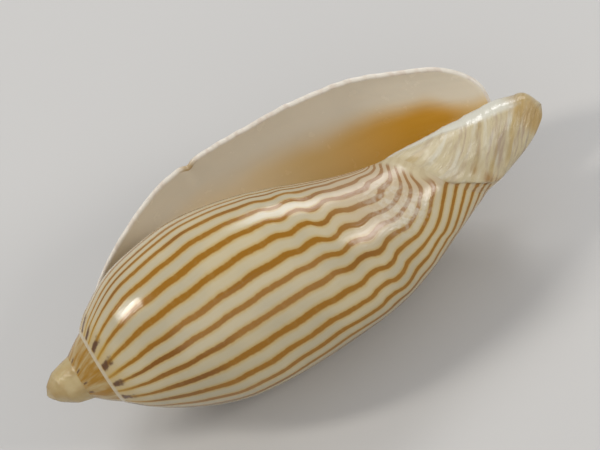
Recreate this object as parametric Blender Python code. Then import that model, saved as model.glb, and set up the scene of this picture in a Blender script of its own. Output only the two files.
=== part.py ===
"""Volute shell of one piece, lying on its back with the aperture turned up and aside.

The shell is a coiled wall round an axis. Its surface is a set of lofts, each a grid of
growth (turns, 0 at the lip and negative before it) by distance along the axis from the apex.
Neighbouring grids share their edges, and welding those makes one closed solid: the spire,
the last whorl's outside, its rolled lip, the inside of the wall, the columella with its
folds, and the band that the siphonal notch left behind. Metres, +Z up.
"""

import math

import bmesh
import bpy
import numpy as np

# Driving dimensions, in millimetres unless the name says otherwise.
LENGTH = 75.0
GROWTH_PER_TURN = 1.42
LAST_RIDGE = 73.2
LIP_END = 69.6
NOTCH_DEPTH = 3.2
NOTCH_TURN, NOTCH_WIDTH = -0.24, 0.085
CLOSE_TURN = -0.42
WALL = 1.05
LIP_THICKNESS = 0.8
LIP_CORNER, CORNER_TURN = 5.0, 0.07
FOLD_HEIGHT = 0.75
FOLD_WIDTH = 1.15
FOLDS_AT = (45.5, 50.5, 55.5, 60.0)
SPIRE_BOW = 0.04
APEX_LEAN, LEAN_TURN, LEAN_END = 0.35, 0.07, 8.5
CAVITY_START = 1.1
MIN_ROOM = 0.12
# How the shell lies: the growth angle that faces up, the axis's pitch, and the point of the
# turned shell, below its middle, that becomes the origin on the flat spot it rests on.
UP_TURN = 0.2
REST_PITCH = 0.9
REST_POINT = (32.7, 1.55, -14.57)

# Where each whorl begins: turn, distance from the apex, radius.
SUTURE = (
    (-4.75, 0.0, 0.0),
    (-4.417, 0.12, 0.5),
    (-3.917, 0.5, 1.05),
    (-3.417, 1.15, 1.68),
    (-2.917, 2.0, 2.3),
    (-2.417, 3.2, 2.9),
    (-1.917, 4.9, 3.22),
    (-1.417, 5.3, 3.3),
    (-0.917, 7.75, 5.2),
    (-0.417, 8.3, 5.55),
    (0.0, 9.9, 7.2),
)
# The widest radius of each whorl: turn, radius.
GIRTH = (
    (-2.0, 5.7),
    (-1.5, 8.1),
    (-1.0, 11.2),
    (-0.917, 11.75),
    (-0.667, 12.9),
    (-0.417, 14.25),
    (-0.167, 16.7),
    (0.0, 19.6),
)
# Form of the whorl from suture to ridge: share of the way, share of the girth on the
# open side, and the same beside the aperture, where the whorl is drawn in to the columella.
FORM = (
    (0.0, 0.43, 0.46),
    (0.03, 0.52, 0.58),
    (0.06, 0.60, 0.66),
    (0.144, 0.78, 0.84),
    (0.255, 0.945, 0.95),
    (0.37, 1.0, 1.0),
    (0.48, 1.0, 0.96),
    (0.59, 0.975, 0.865),
    (0.70, 0.915, 0.72),
    (0.80, 0.785, 0.56),
    (0.90, 0.61, 0.435),
    (1.0, 0.43, 0.36),
)
# Form of the columella's end from the ridge to the tip: share of the way, share of the
# ridge's radius on the side away from the aperture, and beside it.
END_FORM = (
    (0.0, 1.0, 1.0),
    (0.2, 0.93, 0.96),
    (0.45, 0.775, 0.91),
    (0.65, 0.62, 0.87),
    (0.8, 0.46, 0.8),
    (0.9, 0.31, 0.66),
    (0.97, 0.14, 0.4),
    (1.0, 0.0, 0.0),
)
# Radius of the columella where the canal passes it: turn, radius.
CANAL_SIDE = ((-0.42, 5.75), (-0.39, 4.7), (-0.34, 3.9), (-0.2, 3.5), (0.0, 4.03))

# Mesh counts.
COLUMNS = 44
LIP_COLUMNS = (-0.012, -0.004)
BAND_ROWS = 3
WHORL_ROWS = 20
END_ROWS = 8
RIM_ROWS = 2
WELD = 2e-6


def spline(knots, x, column=1):
    """Natural cubic through a table's knots, held flat past its ends."""
    table = np.asarray(knots, float)
    at, value = table[:, 0], table[:, column]
    count, gap = len(at), np.diff(at)
    slope = np.diff(value) / gap
    system, right = np.eye(count), np.zeros(count)
    for i in range(1, count - 1):
        system[i, i - 1 : i + 2] = gap[i - 1], 2 * (gap[i - 1] + gap[i]), gap[i]
        right[i] = 6 * (slope[i] - slope[i - 1])
    bend = np.linalg.solve(system, right)
    x = np.clip(x, at[0], at[-1])
    i = np.clip(np.searchsorted(at, x) - 1, 0, count - 2)
    t, g = x - at[i], gap[i]
    return (
        value[i]
        + t * (slope[i] - g * (2 * bend[i] + bend[i + 1]) / 6)
        + t * t * bend[i] / 2
        + t**3 * (bend[i + 1] - bend[i]) / (6 * g)
    )


def ease(low, high, x):
    """0 before low, 1 past high, and a smooth rise between them."""
    t = np.clip((x - low) / (high - low), 0, 1)
    return t * t * (3 - 2 * t)


def suture_along(turn):
    return spline(SUTURE, turn, 1)


def suture_radius(turn):
    """Radius of the suture. Towards the lip it comes to lie on the whorl one turn before."""
    weight = ease(-0.35, 0, turn)
    table = spline(SUTURE, turn, 2)
    if not np.any(weight > 0):
        return table
    return table * (1 - weight) + whorl_radius(turn - 1, suture_along(turn)) * weight


def ridge_along(turn):
    """The ridge between whorl and end band keeps one proportion as the shell grows."""
    return LAST_RIDGE * GROWTH_PER_TURN**turn


def whorl_radius(turn, along):
    """Outside radius of the whorl at a turn and a distance from the apex."""
    top = suture_along(turn)
    share = (along - top) / (ridge_along(turn) - top)
    drawn_in = 1 - ease(-0.95, -0.45, turn)
    girth = spline(GIRTH, turn)
    form = spline(FORM, share, 1) * (1 - drawn_in) + spline(FORM, share, 2) * drawn_in
    start = FORM[0][1] * (1 - drawn_in) + FORM[0][2] * drawn_in
    step = suture_radius(turn) - girth * start
    return girth * form + step * np.exp(-np.maximum(share, 0) / 0.05)


def margin_along(turn):
    """The free edge at the front end: from the lip's round corner to the notch and the close."""
    straight = LIP_END + (ridge_along(turn) - LIP_END) * (
        1 - ease(CLOSE_TURN, -0.26, turn)
    )
    dip = np.exp(-(((turn - NOTCH_TURN) / NOTCH_WIDTH) ** 2))
    dip = dip * ease(CLOSE_TURN, CLOSE_TURN + 0.08, turn)
    bend = np.clip(1 + turn / CORNER_TURN, 0, 1)
    corner = 1 - np.sqrt(np.maximum(1 - bend * bend, 0))
    return straight - NOTCH_DEPTH * dip - LIP_CORNER * corner


def foot_along(turn):
    """Where the whorl's outside ends: the ridge, then the free edge past the close."""
    return np.where(turn > CLOSE_TURN, margin_along(turn), ridge_along(turn))


def ridge_radius(turn):
    return whorl_radius(turn, ridge_along(turn))


def end_radius(turn, share, base):
    """Radius of the columella's end, share of the way from its base to the tip."""
    beside = ease(-0.62, -0.98, turn) + ease(CLOSE_TURN + 0.05, -0.1, turn)
    form = spline(END_FORM, share, 1) * (1 - beside) + spline(END_FORM, share, 2) * beside
    return base * form


def seat_along(turn):
    """Height on the columella where its end band starts, seen from inside the canal."""
    close = ridge_along(CLOSE_TURN)
    open_part = close + (ridge_along(-1.0) - close) * ease(CLOSE_TURN, 0, turn)
    shut = ridge_along(turn) - 4.0 * (1 - ease(CLOSE_TURN - 0.16, CLOSE_TURN, turn))
    return np.where(turn > CLOSE_TURN, open_part, shut)


def seat_radius(turn):
    shut = ridge_radius(turn) - 1.3 * (1 - ease(CLOSE_TURN - 0.16, CLOSE_TURN, turn))
    close = ridge_radius(CLOSE_TURN)
    first = ridge_radius(-1.0)
    side = spline(CANAL_SIDE, turn)
    side = side + (close - CANAL_SIDE[0][1]) * (1 - ease(CLOSE_TURN, -0.3, turn))
    side = side + (first - CANAL_SIDE[-1][1]) * ease(-0.2, 0, turn)
    return np.where(turn > CLOSE_TURN, side, shut)


def corner_along(turn):
    """Top of the cavity, just under the suture; at the lip it is the suture itself."""
    return suture_along(turn) + CAVITY_START * ease(0, -0.05, turn)


def folds(turn, along):
    """The plaits wind round the columella and fade out where it leaves the aperture."""
    inside = ease(-0.01, -0.07, turn)
    height = 0
    for at in FOLDS_AT:
        off = (along - at * GROWTH_PER_TURN**turn) / FOLD_WIDTH
        height = height + np.exp(-off * off)
    return FOLD_HEIGHT * inside * height


def core_radius(turn, along):
    """Inner side of the cavity: the whorl before, then the columella."""
    before = np.minimum(along, ridge_along(turn - 1))
    base = whorl_radius(turn - 1, before)
    seat = seat_along(turn)
    start = seat + (0.72 * ridge_along(turn - 1) - seat) * ease(0, -0.14, turn)
    weight = ease(start, seat + 1e-6, along)
    radius = base * (1 - weight) + seat_radius(turn) * weight
    return radius + folds(turn, along)


def wall_radius(turn, along):
    """Inside of the wall, which closes on the core at the corner and at the seat."""
    core = core_radius(turn, along)
    peel = ease(CLOSE_TURN - 0.04, CLOSE_TURN + 0.06, turn)
    shut = turn <= CLOSE_TURN
    thick = LIP_THICKNESS + (WALL - LIP_THICKNESS) * ease(0, -0.1, turn)
    thick = np.where(shut, thick, thick * (0.3 + 0.7 * peel))
    room = np.maximum(whorl_radius(turn, along) - thick - core, MIN_ROOM)
    top = ease(0, 1.6, along - corner_along(turn)) ** 0.5
    bottom = np.where(shut, ease(0, 5.0, seat_along(turn) - along) ** 0.5, 1.0)
    return core + room * top * bottom


def place(turn, radius, along):
    """Points round the axis of coiling, which lies along Y. Growth is clockwise seen from
    the apex, which makes the shell right-handed; turn 0 is on +X. The tip leans a little."""
    angle, lean_angle = -2 * math.pi * turn, -2 * math.pi * LEAN_TURN
    lean = APEX_LEAN * ease(LEAN_END, 0, along)
    x = radius * np.cos(angle) + lean * math.cos(lean_angle)
    z = radius * np.sin(angle) + lean * math.sin(lean_angle)
    return np.stack([x, along + 0 * radius, z], -1)


def grid(turns, shares):
    return np.meshgrid(np.asarray(turns), np.asarray(shares), indexing="ij")


def body_turns():
    """Columns of the last whorl, one of them exactly at the close, and closer at the lip."""
    closing = round(COLUMNS * (1 + CLOSE_TURN))
    closed = np.linspace(-1, CLOSE_TURN, closing + 1)
    opened = np.linspace(CLOSE_TURN, 0, COLUMNS - closing + 1)
    return np.concatenate([closed, opened[1:-1], LIP_COLUMNS, [0.0]])


def spire_turns():
    """Columns before the last whorl, one turn apart from the body's."""
    last = body_turns()[:-1] - 1
    turns = np.concatenate([last - 3, last - 2, last - 1, last, [-1.0]])
    return turns[turns > SUTURE[0][0] + 1e-6]


def spire_points():
    turn, share = grid(spire_turns(), np.linspace(0, 1, BAND_ROWS + 1))
    top, low = suture_along(turn), suture_along(turn + 1)
    along = top + (low - top) * share
    first, last = spline(SUTURE, turn, 2), spline(SUTURE, turn + 1, 2)
    bow = SPIRE_BOW * (last - first) * np.sin(math.pi * share)
    radius = first + (last - first) * share + bow
    late = ease(-1.35, -1.0, turn)
    late_form = whorl_radius(turn, along)
    return place(turn, radius * (1 - late) + late_form * late, along)


def whorl_points():
    """The last whorl's outside: a band level with the spire's, then the rest."""
    turn, share = grid(body_turns(), np.linspace(0, 1, BAND_ROWS + 1)[:-1])
    band = suture_along(0) - suture_along(-1)
    band_along = suture_along(turn) + band * share
    turn_low, share_low = grid(body_turns(), np.linspace(0, 1, WHORL_ROWS + 1))
    top = suture_along(turn_low) + band
    along = top + (foot_along(turn_low) - top) * share_low
    upper = place(turn, whorl_radius(turn, band_along), band_along)
    lower = place(turn_low, whorl_radius(turn_low, along), along)
    return np.concatenate([upper, lower], 1)


def end_shares():
    """Rows of the end, closer together towards its round tip."""
    return np.sin(np.linspace(0, math.pi / 2, END_ROWS + 1))


def end_points():
    """The band from the ridge to the tip, made by the notch as the shell grew."""
    turns = body_turns()
    turn, share = grid(turns[turns <= CLOSE_TURN + 1e-9], end_shares())
    along = ridge_along(turn) + (LENGTH - ridge_along(turn)) * share
    return place(turn, end_radius(turn, share, ridge_radius(turn)), along)


def canal_points():
    """The same end seen from inside the canal."""
    turns = body_turns()
    turn, share = grid(turns[turns >= CLOSE_TURN - 1e-9], end_shares())
    open_side = turn > CLOSE_TURN + 1e-9
    base = np.where(open_side, seat_radius(turn), ridge_radius(turn))
    start = np.where(open_side, seat_along(turn), ridge_along(turn))
    along = start + (LENGTH - start) * share
    radius = end_radius(turn, share, base) + folds(turn, along) * (1 - share)
    return place(turn, radius, along)


def core_points():
    """Parietal wall and columella, from the corner to the seat of the end band."""
    turn, share = grid(body_turns(), np.linspace(0, 1, WHORL_ROWS + 1))
    along = corner_along(turn) + (seat_along(turn) - corner_along(turn)) * share
    return place(turn, core_radius(turn, along), along)


def wall_points():
    """Inside of the wall, its rows level with the outside's at the lip."""
    turn, _ = grid(body_turns(), np.zeros(BAND_ROWS + WHORL_ROWS + 1))
    outside = whorl_points()[..., 1]
    top, foot = suture_along(turn), foot_along(turn)
    end = np.where(turn > CLOSE_TURN, margin_along(turn), seat_along(turn))
    share = (outside - top) / (foot - top)
    along = corner_along(turn) + (end - corner_along(turn)) * share
    return place(turn, wall_radius(turn, along), along)


def mouth_edge(points):
    """The free edge of a wall grid: down the lip, then back along the margin."""
    turns = body_turns()
    first = int(np.argmin(abs(turns - CLOSE_TURN)))
    return np.concatenate([points[-1, :, :], points[first:-1, -1, :][::-1]])


def rim_points(outside, inside):
    """Half-round rim from the outside's free edge to the inside's."""
    outer, inner = mouth_edge(outside), mouth_edge(inside)
    middle, across = (outer + inner) / 2, (outer - inner) / 2
    forward = np.cross(np.gradient(middle, axis=0), across)
    forward /= np.maximum(np.linalg.norm(forward, axis=1, keepdims=True), 1e-9)
    half = np.linalg.norm(across, axis=1, keepdims=True)
    steps = np.linspace(0, math.pi, RIM_ROWS + 2)
    rows = [middle + across * math.cos(a) + forward * half * math.sin(a) for a in steps]
    rows[0], rows[-1] = outer, inner
    return np.stack(rows, 1)


def laid_down(points):
    """Turn the shell on to its back, apex towards -X and the lip towards +Y."""
    angle, pitch = -2 * math.pi * UP_TURN, math.radians(REST_PITCH)
    level = math.cos(pitch)
    up = np.array([math.cos(angle) * level, math.sin(pitch), math.sin(angle) * level])
    forward = np.array([0.0, 1.0, 0.0]) - up[1] * up
    forward /= np.linalg.norm(forward)
    turned = points @ np.stack([forward, np.cross(up, forward), up]).T
    return turned - REST_POINT


def quads(count_across, count_down, start, flip=False):
    """Faces of one grid of points whose numbers begin at start."""
    i, j = np.meshgrid(np.arange(count_across - 1), np.arange(count_down - 1), indexing="ij")
    a = (start + i * count_down + j).ravel()
    faces = np.stack([a, a + 1, a + 1 + count_down, a + count_down], -1)
    return faces[:, ::-1] if flip else faces


def strip(first, second):
    """Triangles between two rows of point numbers with unlike counts."""
    faces, i, j = [], 0, 0
    while i < len(first) - 1 or j < len(second) - 1:
        ahead = (i + 1) / (len(first) - 1) <= (j + 1) / (len(second) - 1)
        if i < len(first) - 1 and (ahead or j == len(second) - 1):
            faces.append((first[i], first[i + 1], second[j]))
            i += 1
        else:
            faces.append((first[i], second[j + 1], second[j]))
            j += 1
    return faces


def cut_flat_spot(work):
    """Take off the little that lies below z = 0, which leaves the face it rests on."""
    everything = work.verts[:] + work.edges[:] + work.faces[:]
    cut = bmesh.ops.bisect_plane(
        work, geom=everything, plane_co=(0, 0, 0), plane_no=(0, 0, -1), clear_outer=True
    )
    edges = [e for e in cut["geom_cut"] if isinstance(e, bmesh.types.BMEdge)]
    bmesh.ops.contextual_create(work, geom=edges)


def shell_mesh():
    """Every grid in one mesh, welded where neighbours share an edge."""
    outside, inside = whorl_points(), wall_points()
    blocks = (
        (spire_points(), False),
        (outside, False),
        (end_points(), False),
        (canal_points(), False),
        (core_points(), False),
        (inside, True),
        (rim_points(outside, inside), False),
    )
    points, faces, starts, total = [], [], [], 0
    for block, flip in blocks:
        across, down = block.shape[:2]
        starts.append(total)
        points.append(block.reshape(-1, 3))
        faces += quads(across, down, total, flip).tolist()
        total += across * down
    across, down = blocks[0][0].shape[:2]
    nucleus = [starts[0] + i * down for i in range(len(body_turns()))]
    first_column = [starts[0] + j for j in range(down - 1, -1, -1)]
    loop = nucleus + first_column[1:]
    points.append(place(np.array([SUTURE[0][0]]), np.array([0.0]), np.array([-0.02])))
    faces += [(a, b, total) for a, b in zip(loop, loop[1:])]
    core = [starts[4] + j for j in range(WHORL_ROWS + 1)]
    wall = [starts[5] + j for j in range(BAND_ROWS + WHORL_ROWS + 1)]
    faces += strip(core, wall)
    mesh = bpy.data.meshes.new("shell")
    mesh.from_pydata((laid_down(np.concatenate(points)) / 1000).tolist(), [], faces)
    work = bmesh.new()
    work.from_mesh(mesh)
    bmesh.ops.remove_doubles(work, verts=work.verts, dist=WELD)
    bmesh.ops.dissolve_degenerate(work, edges=work.edges, dist=WELD)
    cut_flat_spot(work)
    bmesh.ops.recalc_face_normals(work, faces=work.faces)
    work.to_mesh(mesh)
    work.free()
    return mesh


def shell_finish():
    finish = bpy.data.materials.new("glossy_shell")
    finish.use_nodes = True
    shader = finish.node_tree.nodes["Principled BSDF"]
    shader.inputs["Base Color"].default_value = (0.80, 0.70, 0.50, 1.0)
    shader.inputs["Roughness"].default_value = 0.25
    shader.inputs["Metallic"].default_value = 0.0
    return finish


for old in list(bpy.data.objects):
    bpy.data.objects.remove(old)
shell = bpy.data.objects.new("shell", shell_mesh())
shell.data.materials.append(shell_finish())
home = bpy.data.collections.new("volute_shell")
bpy.context.scene.collection.children.link(home)
home.objects.link(shell)
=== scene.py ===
import math

import bmesh
import bpy
import mathutils
import numpy as np
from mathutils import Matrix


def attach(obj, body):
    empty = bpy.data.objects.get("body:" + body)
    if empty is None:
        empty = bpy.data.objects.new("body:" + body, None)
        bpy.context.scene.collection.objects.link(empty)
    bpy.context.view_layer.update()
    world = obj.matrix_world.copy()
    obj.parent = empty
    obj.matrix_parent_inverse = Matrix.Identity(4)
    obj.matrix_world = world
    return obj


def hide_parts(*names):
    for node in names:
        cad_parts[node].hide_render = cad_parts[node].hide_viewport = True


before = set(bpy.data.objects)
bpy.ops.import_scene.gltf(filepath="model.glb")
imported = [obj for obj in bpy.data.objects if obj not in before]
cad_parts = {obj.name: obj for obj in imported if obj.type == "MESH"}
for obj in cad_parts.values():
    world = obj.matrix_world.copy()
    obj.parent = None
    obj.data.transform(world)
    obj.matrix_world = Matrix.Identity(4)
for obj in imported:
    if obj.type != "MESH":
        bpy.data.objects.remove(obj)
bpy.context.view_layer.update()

# The shell: one wall of aragonite that coils to the right round an axis and grows as it turns.
# The snail laid it down at the lip and glazed it inside. It is worked out in millimetres on grids
# of growth (turns, 0 at the lip, negative before it) by distance along the axis from the apex.
LENGTH = 75.0
GROWTH_PER_TURN = 1.42
LAST_RIDGE = 73.2
LIP_END = 69.6
NOTCH_DEPTH = 3.2
NOTCH_TURN, NOTCH_WIDTH = -0.24, 0.085
CLOSE_TURN = -0.42
WALL = 1.05
LIP_THICKNESS = 0.8
LIP_CORNER, CORNER_TURN = 5.0, 0.07
FOLD_HEIGHT = 0.75
FOLD_WIDTH = 1.15
FOLDS_AT = (45.5, 50.5, 55.5, 60.0)
SPIRE_BOW = 0.04
APEX_LEAN, LEAN_TURN, LEAN_END = 0.35, 0.07, 8.5
CAVITY_START = 1.1
MIN_ROOM = 0.12
# How the shell lies: the growth angle that faces up, the axis's pitch, and the point of the
# turned shell, below its middle, that becomes the origin on the flat spot it rests on.
UP_TURN = 0.2
REST_PITCH = 0.9
REST_POINT = (32.7, 1.55, -14.57)

# Where each whorl begins: turn, distance from the apex, radius.
SUTURE = (
    (-4.75, 0.0, 0.0),
    (-4.417, 0.12, 0.5),
    (-3.917, 0.5, 1.05),
    (-3.417, 1.15, 1.68),
    (-2.917, 2.0, 2.3),
    (-2.417, 3.2, 2.9),
    (-1.917, 4.9, 3.22),
    (-1.417, 5.3, 3.3),
    (-0.917, 7.75, 5.2),
    (-0.417, 8.3, 5.55),
    (0.0, 9.9, 7.2),
)
# The widest radius of each whorl: turn, radius.
GIRTH = (
    (-2.0, 5.7),
    (-1.5, 8.1),
    (-1.0, 11.2),
    (-0.917, 11.75),
    (-0.667, 12.9),
    (-0.417, 14.25),
    (-0.167, 16.7),
    (0.0, 19.6),
)
# Form of the whorl from suture to ridge: share of the way, share of the girth on the
# open side, and the same beside the aperture, where the whorl is drawn in to the columella.
FORM = (
    (0.0, 0.43, 0.46),
    (0.03, 0.52, 0.58),
    (0.06, 0.60, 0.66),
    (0.144, 0.78, 0.84),
    (0.255, 0.945, 0.95),
    (0.37, 1.0, 1.0),
    (0.48, 1.0, 0.96),
    (0.59, 0.975, 0.865),
    (0.70, 0.915, 0.72),
    (0.80, 0.785, 0.56),
    (0.90, 0.61, 0.435),
    (1.0, 0.43, 0.36),
)
# Form of the columella's end from the ridge to the tip: share of the way, share of the
# ridge's radius on the side away from the aperture, and beside it.
END_FORM = (
    (0.0, 1.0, 1.0),
    (0.2, 0.93, 0.96),
    (0.45, 0.775, 0.91),
    (0.65, 0.62, 0.87),
    (0.8, 0.46, 0.8),
    (0.9, 0.31, 0.66),
    (0.97, 0.14, 0.4),
    (1.0, 0.0, 0.0),
)
# Radius of the columella where the canal passes it: turn, radius.
CANAL_SIDE = ((-0.42, 5.75), (-0.39, 4.7), (-0.34, 3.9), (-0.2, 3.5), (0.0, 4.03))

# Grid counts.
COLUMNS = 180
LIP_COLUMNS = (-0.0038, -0.0022, -0.0011, -0.0004)
BAND_ROWS = 12
WHORL_ROWS = 100
END_ROWS = 80
RIM_ROWS = 6
WELD = 2e-6


def spline(knots, x, column=1):
    """Natural cubic through a table's knots, held flat past its ends."""
    table = np.asarray(knots, float)
    at, value = table[:, 0], table[:, column]
    count, gap = len(at), np.diff(at)
    slope = np.diff(value) / gap
    system, right = np.eye(count), np.zeros(count)
    for i in range(1, count - 1):
        system[i, i - 1 : i + 2] = gap[i - 1], 2 * (gap[i - 1] + gap[i]), gap[i]
        right[i] = 6 * (slope[i] - slope[i - 1])
    bend = np.linalg.solve(system, right)
    x = np.clip(x, at[0], at[-1])
    i = np.clip(np.searchsorted(at, x) - 1, 0, count - 2)
    t, g = x - at[i], gap[i]
    return (
        value[i]
        + t * (slope[i] - g * (2 * bend[i] + bend[i + 1]) / 6)
        + t * t * bend[i] / 2
        + t**3 * (bend[i + 1] - bend[i]) / (6 * g)
    )


def ease(low, high, x):
    """0 before low, 1 past high, and a smooth rise between them."""
    t = np.clip((x - low) / (high - low), 0, 1)
    return t * t * (3 - 2 * t)


def suture_along(turn):
    """Distance of the suture from the apex, through the suture table's knots."""
    return spline(SUTURE, turn, 1)


def suture_radius(turn):
    """Radius of the suture. Towards the lip it comes to lie on the whorl one turn before."""
    weight = ease(-0.35, 0, turn)
    table = spline(SUTURE, turn, 2)
    if not np.any(weight > 0):
        return table
    return table * (1 - weight) + whorl_radius(turn - 1, suture_along(turn)) * weight


def ridge_along(turn):
    """The ridge between whorl and end band keeps one proportion as the shell grows."""
    return LAST_RIDGE * GROWTH_PER_TURN**turn


def whorl_radius(turn, along):
    """Outside radius of the whorl at a turn and a distance from the apex."""
    top = suture_along(turn)
    share = (along - top) / (ridge_along(turn) - top)
    drawn_in = 1 - ease(-0.95, -0.45, turn)
    girth = spline(GIRTH, turn)
    form = spline(FORM, share, 1) * (1 - drawn_in) + spline(FORM, share, 2) * drawn_in
    start = FORM[0][1] * (1 - drawn_in) + FORM[0][2] * drawn_in
    step = suture_radius(turn) - girth * start
    return girth * form + step * np.exp(-np.maximum(share, 0) / 0.05)


def margin_along(turn):
    """The free edge at the front end: from the lip's round corner to the notch and the close."""
    straight = LIP_END + (ridge_along(turn) - LIP_END) * (1 - ease(CLOSE_TURN, -0.26, turn))
    dip = np.exp(-(((turn - NOTCH_TURN) / NOTCH_WIDTH) ** 2))
    dip = dip * ease(CLOSE_TURN, CLOSE_TURN + 0.08, turn)
    bend = np.clip(1 + turn / CORNER_TURN, 0, 1)
    corner = 1 - np.sqrt(np.maximum(1 - bend * bend, 0))
    return straight - NOTCH_DEPTH * dip - LIP_CORNER * corner


def foot_along(turn):
    """Where the whorl's outside ends: the ridge, then the free edge past the close."""
    return np.where(turn > CLOSE_TURN, margin_along(turn), ridge_along(turn))


def ridge_radius(turn):
    """Outside radius at the ridge, where the whorl ends."""
    return whorl_radius(turn, ridge_along(turn))


def end_radius(turn, share, base):
    """Radius of the columella's end, share of the way from its base to the tip."""
    beside = ease(-0.62, -0.98, turn) + ease(CLOSE_TURN + 0.05, -0.1, turn)
    form = spline(END_FORM, share, 1) * (1 - beside) + spline(END_FORM, share, 2) * beside
    return base * form


def seat_along(turn):
    """Height on the columella where its end band starts, seen from inside the canal."""
    close = ridge_along(CLOSE_TURN)
    open_part = close + (ridge_along(-1.0) - close) * ease(CLOSE_TURN, 0, turn)
    shut = ridge_along(turn) - 4.0 * (1 - ease(CLOSE_TURN - 0.16, CLOSE_TURN, turn))
    return np.where(turn > CLOSE_TURN, open_part, shut)


def seat_radius(turn):
    """Radius where the end band starts inside the canal: a little in from the ridge up to the
    close, then the table's canal side, eased into the ridge's radius at both its ends."""
    shut = ridge_radius(turn) - 1.3 * (1 - ease(CLOSE_TURN - 0.16, CLOSE_TURN, turn))
    close = ridge_radius(CLOSE_TURN)
    first = ridge_radius(-1.0)
    side = spline(CANAL_SIDE, turn)
    side = side + (close - CANAL_SIDE[0][1]) * (1 - ease(CLOSE_TURN, -0.3, turn))
    side = side + (first - CANAL_SIDE[-1][1]) * ease(-0.2, 0, turn)
    return np.where(turn > CLOSE_TURN, side, shut)


def corner_along(turn):
    """Top of the cavity, just under the suture; at the lip it is the suture itself."""
    return suture_along(turn) + CAVITY_START * ease(0, -0.05, turn)


def folds(turn, along):
    """The plaits wind round the columella and fade out where it leaves the aperture."""
    inside = ease(-0.01, -0.07, turn)
    height = 0
    for at in FOLDS_AT:
        off = (along - at * GROWTH_PER_TURN**turn) / FOLD_WIDTH
        height = height + np.exp(-off * off)
    return FOLD_HEIGHT * inside * height


def core_radius(turn, along):
    """Inner side of the cavity: the whorl before, then the columella."""
    before = np.minimum(along, ridge_along(turn - 1))
    base = whorl_radius(turn - 1, before)
    seat = seat_along(turn)
    start = seat + (0.72 * ridge_along(turn - 1) - seat) * ease(0, -0.14, turn)
    weight = ease(start, seat + 1e-6, along)
    radius = base * (1 - weight) + seat_radius(turn) * weight
    return radius + folds(turn, along)


def wall_radius(turn, along):
    """Inside of the wall, which closes on the core at the corner and at the seat."""
    core = core_radius(turn, along)
    peel = ease(CLOSE_TURN - 0.04, CLOSE_TURN + 0.06, turn)
    shut = turn <= CLOSE_TURN
    thick = LIP_THICKNESS + (WALL - LIP_THICKNESS) * ease(0, -0.1, turn)
    thick = np.where(shut, thick, thick * (0.3 + 0.7 * peel))
    room = np.maximum(whorl_radius(turn, along) - thick - core, MIN_ROOM)
    top = ease(0, 1.6, along - corner_along(turn)) ** 0.5
    bottom = np.where(shut, ease(0, 5.0, seat_along(turn) - along) ** 0.5, 1.0)
    return core + room * top * bottom


def place(turn, radius, along):
    """Points round the axis of coiling, which lies along Y. Growth is clockwise seen from
    the apex, which makes the shell right-handed; turn 0 is on +X. The tip leans a little."""
    angle, lean_angle = -2 * math.pi * turn, -2 * math.pi * LEAN_TURN
    lean = APEX_LEAN * ease(LEAN_END, 0, along)
    x = radius * np.cos(angle) + lean * math.cos(lean_angle)
    z = radius * np.sin(angle) + lean * math.sin(lean_angle)
    return np.stack([x, along + 0 * radius, z], -1)


def grid(turns, shares):
    """Two equal arrays: turns down the first axis, shares along the second."""
    return np.meshgrid(np.asarray(turns), np.asarray(shares), indexing="ij")


def body_turns():
    """Columns of the last whorl, one of them exactly at the close, and closer at the lip."""
    closing = round(COLUMNS * (1 + CLOSE_TURN))
    closed = np.linspace(-1, CLOSE_TURN, closing + 1)
    opened = np.linspace(CLOSE_TURN, 0, COLUMNS - closing + 1)
    return np.concatenate([closed, opened[1:-1], LIP_COLUMNS, [0.0]])


def spire_turns():
    """Columns before the last whorl, one turn apart from the body's."""
    last = body_turns()[:-1] - 1
    turns = np.concatenate([last - 3, last - 2, last - 1, last, [-1.0]])
    return turns[turns > SUTURE[0][0] + 1e-6]


def spire_points():
    """The spire: from one suture to the next, straight but for a low sine bow outwards, and
    eased into the whorl's own form just before the last whorl."""
    turn, share = grid(spire_turns(), np.linspace(0, 1, BAND_ROWS + 1))
    top, low = suture_along(turn), suture_along(turn + 1)
    along = top + (low - top) * share
    first, last = spline(SUTURE, turn, 2), spline(SUTURE, turn + 1, 2)
    bow = SPIRE_BOW * (last - first) * np.sin(math.pi * share)
    radius = first + (last - first) * share + bow
    late = ease(-1.35, -1.0, turn)
    late_form = whorl_radius(turn, along)
    return place(turn, radius * (1 - late) + late_form * late, along)


def whorl_points():
    """The last whorl's outside: a band level with the spire's, then the rest."""
    turn, share = grid(body_turns(), np.linspace(0, 1, BAND_ROWS + 1)[:-1])
    band = suture_along(0) - suture_along(-1)
    band_along = suture_along(turn) + band * share
    turn_low, share_low = grid(body_turns(), np.linspace(0, 1, WHORL_ROWS + 1))
    top = suture_along(turn_low) + band
    along = top + (foot_along(turn_low) - top) * share_low
    upper = place(turn, whorl_radius(turn, band_along), band_along)
    lower = place(turn_low, whorl_radius(turn_low, along), along)
    return np.concatenate([upper, lower], 1)


def end_shares():
    """Rows of the end, closer together towards its round tip."""
    return np.sin(np.linspace(0, math.pi / 2, END_ROWS + 1))


def end_points():
    """The band from the ridge to the tip, made by the notch as the shell grew."""
    turns = body_turns()
    turn, share = grid(turns[turns <= CLOSE_TURN + 1e-9], end_shares())
    along = ridge_along(turn) + (LENGTH - ridge_along(turn)) * share
    return place(turn, end_radius(turn, share, ridge_radius(turn)), along)


def canal_points():
    """The same end seen from inside the canal."""
    turns = body_turns()
    turn, share = grid(turns[turns >= CLOSE_TURN - 1e-9], end_shares())
    open_side = turn > CLOSE_TURN + 1e-9
    base = np.where(open_side, seat_radius(turn), ridge_radius(turn))
    start = np.where(open_side, seat_along(turn), ridge_along(turn))
    along = start + (LENGTH - start) * share
    radius = end_radius(turn, share, base) + folds(turn, along) * (1 - share)
    return place(turn, radius, along)


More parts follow.
